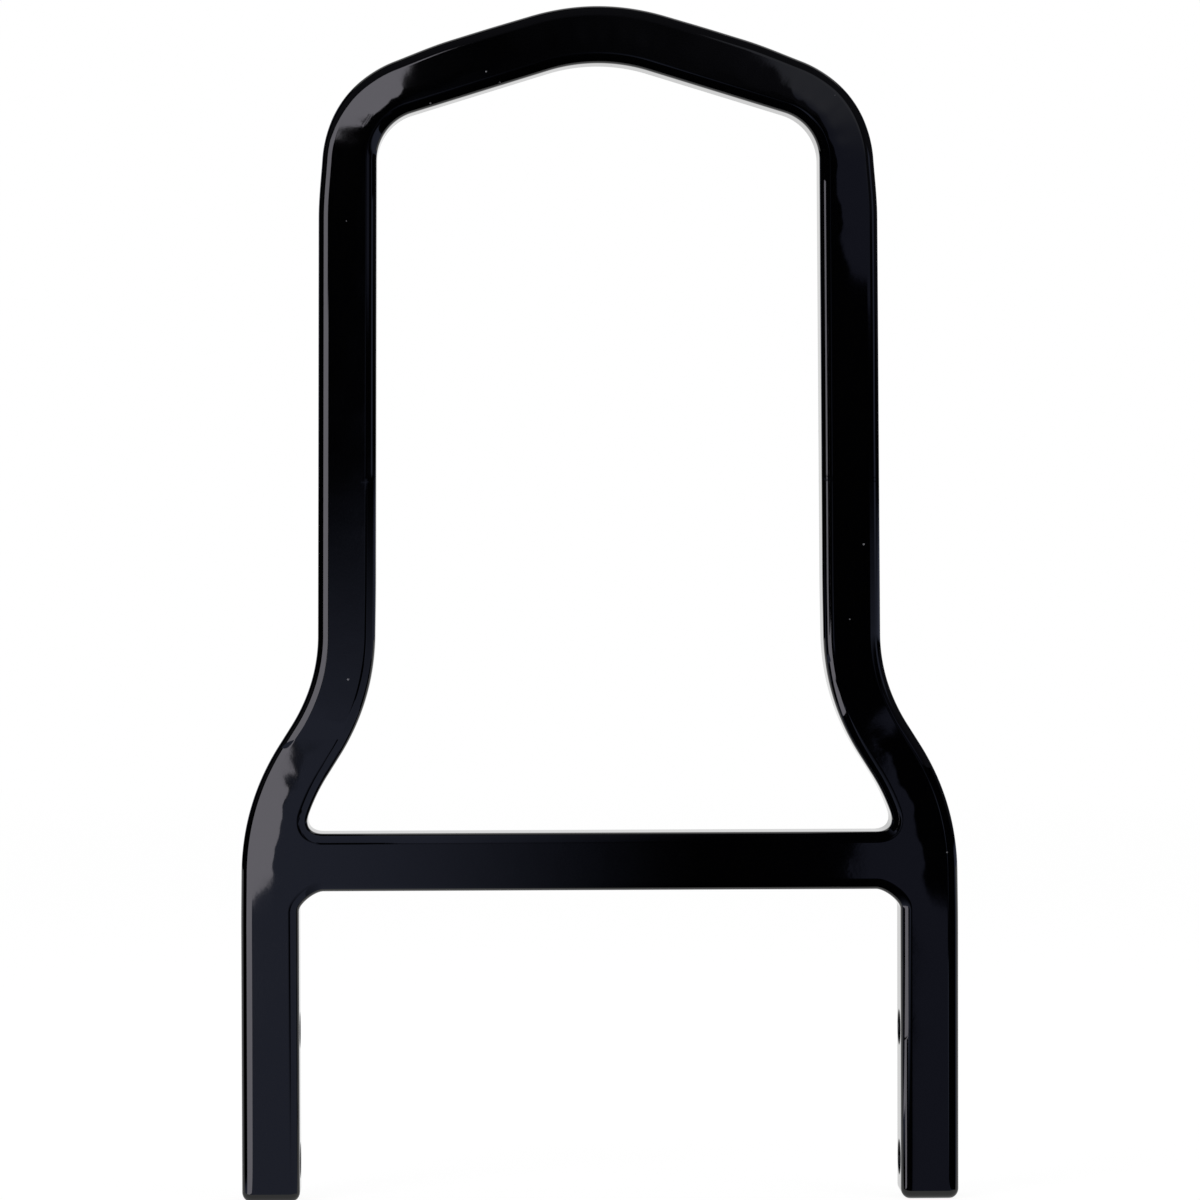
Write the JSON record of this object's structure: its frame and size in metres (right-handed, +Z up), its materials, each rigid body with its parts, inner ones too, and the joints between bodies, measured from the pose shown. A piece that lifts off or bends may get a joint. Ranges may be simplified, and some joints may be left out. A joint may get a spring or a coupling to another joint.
{
  "type": "motorcycle sissy bar frame",
  "caption": "Flat backrest hoop bent from solid square bar, with a peaked top, flared legs, a welded crossbar and cross-drilled leg ends for side plates.",
  "frame": {"origin": "midway between the two leg ends, level with them and halfway through the bar", "axes": "+Z up the legs to the peak, +X to the right as seen from the front, and the front faces -Y"},
  "size_m": [0.1984, 0.016, 0.33],
  "materials": {
    "coat": "gloss black powder coat with a fine orange peel",
    "weld": "weld metal ground flush, under the same gloss black coat"
  },
  "bodies": {
    "root": {"hoop": "coat", "crossbar": "coat", "weld_left": "weld", "weld_right": "weld"}
  },
  "joints": []
}
